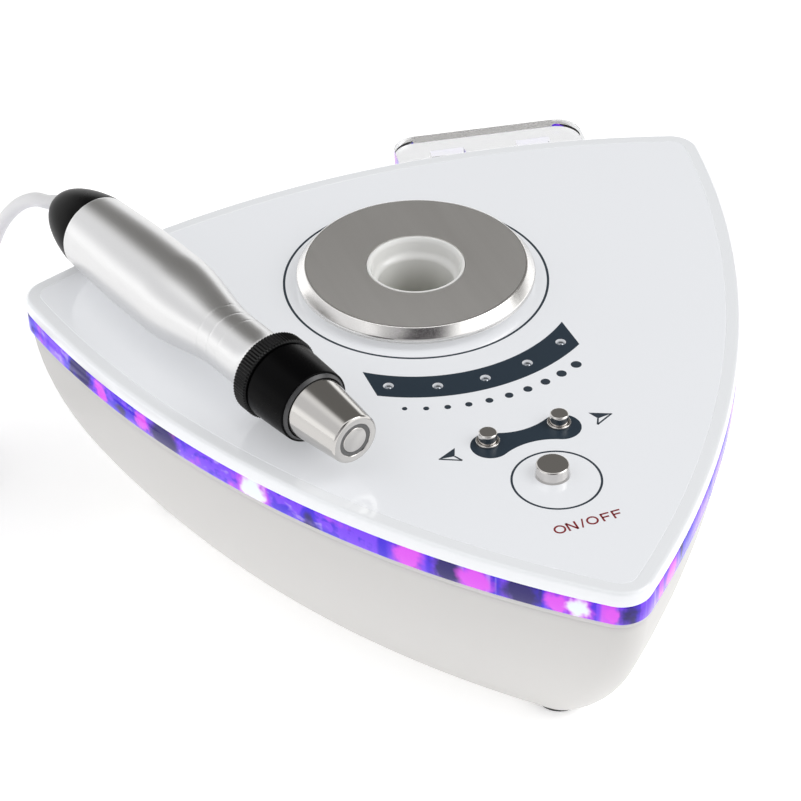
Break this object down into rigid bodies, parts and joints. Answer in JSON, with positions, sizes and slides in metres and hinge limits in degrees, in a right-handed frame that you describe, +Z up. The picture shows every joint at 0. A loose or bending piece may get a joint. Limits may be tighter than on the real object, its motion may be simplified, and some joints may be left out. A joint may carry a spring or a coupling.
{
  "type": "facial toning device",
  "caption": "Three-sided tabletop console with a glowing band, steel resting disc, cup and push buttons, and a tapered electrode handpiece on a lead.",
  "frame": {"origin": "on the table under the middle of the console with its holder bracket", "axes": "+Z up, the console's front point at -Y, the holder bracket behind at +Y"},
  "size_m": [0.3294, 0.2819, 0.1141],
  "materials": {
    "housing": "moulded white plastic, fine satin",
    "feet": "moulded rubber",
    "screws": "zinc-plated steel",
    "light_ring": "clear acrylic that glows blue violet",
    "lamp_strip": "flexible strip with lamps",
    "plate": "polished acrylic, white behind",
    "spacer": "plain plastic",
    "steel": "satin stainless, bright bevel",
    "cup": "glossy white plastic",
    "lamps": "clear light pipes",
    "boards": "glass-fibre board with green resist",
    "switches": "dark switch bodies",
    "bright_metal": "bright plated metal",
    "guide": "white plastic",
    "bracket": "clear acrylic",
    "copper": "wound copper",
    "sink": "extruded aluminium",
    "capacitors": "sleeved capacitors",
    "ribbon": "flat grey cable",
    "black_plastic": "black plastic, satin",
    "handle": "satin silver",
    "gold": "gold-plated pins",
    "wires": "insulated wires",
    "electrode": "polished nickel",
    "lead": "light grey cable jacket",
    "tie": "black hook-and-loop tie"
  },
  "bodies": {
    "root": {"base_housing": "housing", "rubber_feet": "feet", "housing_screws": "screws", "top_frame": "housing", "light_ring": "light_ring", "led_strip": "lamp_strip", "top_plate": "plate", "disc_spacer": "spacer", "rest_disc": "steel", "rest_cup": "cup", "cup_nut": "spacer", "level_lamps": "lamps", "control_board": "boards", "tact_switches": "switches", "board_screws": "screws", "button_bezels": "bright_metal", "power_guide": "guide", "holder_bracket": "bracket", "bracket_screws": "screws", "power_board": "boards", "board_transformer": "copper", "heat_sink": "sink", "capacitors": "capacitors", "ribbon_cable": "ribbon", "rear_panel": "sink", "panel_screws": "screws", "power_inlet": "black_plastic", "handpiece_socket": "bright_metal", "socket_nut": "bright_metal", "handpiece_lead": "lead", "lead_coil": "lead", "lead_tie": "tie", "plug_tail": "lead", "lead_plug": "bright_metal"},
    "power_button": {"power_button": "bright_metal"},
    "minus_button": {"minus_button": "bright_metal"},
    "plus_button": {"plus_button": "bright_metal"},
    "handpiece": {"handle_shell": "handle", "tail_cap": "black_plastic", "handle_nose": "black_plastic", "contact_pins": "gold", "handle_wires": "wires"},
    "head": {"head_core": "black_plastic", "head_sleeve": "black_plastic", "outer_electrode": "electrode", "insulator": "black_plastic", "centre_electrode": "electrode"},
    "coupling_ring": {"coupling_ring": "black_plastic"},
    "plug_collar": {"plug_collar": "bright_metal"}
  },
  "joints": [
    {"name": "power_press", "type": "slide", "parent": "root", "child": "power_button", "axis": [0, 0, -1], "range_m": [0, 0.0008], "stiffness_N_per_m": 1500, "springref_m": -0.0004},
    {"name": "minus_press", "type": "slide", "parent": "root", "child": "minus_button", "axis": [0, 0, -1], "range_m": [0, 0.0008], "stiffness_N_per_m": 1500, "springref_m": -0.0004},
    {"name": "plus_press", "type": "slide", "parent": "root", "child": "plus_button", "axis": [0, 0, -1], "range_m": [0, 0.0008], "stiffness_N_per_m": 1500, "springref_m": -0.0004},
    {"name": "handpiece_lift", "type": "slide", "parent": "root", "child": "handpiece", "axis": [0, 0, 1], "range_m": [0, 0.06], "deforming": ["handpiece_lead"]},
    {"name": "head_slide", "type": "slide", "parent": "handpiece", "child": "head", "axis": [0.2812, -0.9597, 0], "range_m": [0, 0.003]},
    {"name": "ring_turn", "type": "hinge", "parent": "head", "child": "coupling_ring", "pos_m": [-0.06704, -0.01064, 0.0997], "axis": [0.2812, -0.9597, 0], "range_deg": [0, 720]},
    {"name": "collar_turn", "type": "hinge", "parent": "root", "child": "plug_collar", "pos_m": [-0.198, 0.06, 0.008], "axis": [0, -1, 0], "range_deg": [0, 360]}
  ],
  "couplings": [
    {"joint": "ring_turn", "follows": "head_slide", "rad_per_m": 4188.8}
  ]
}
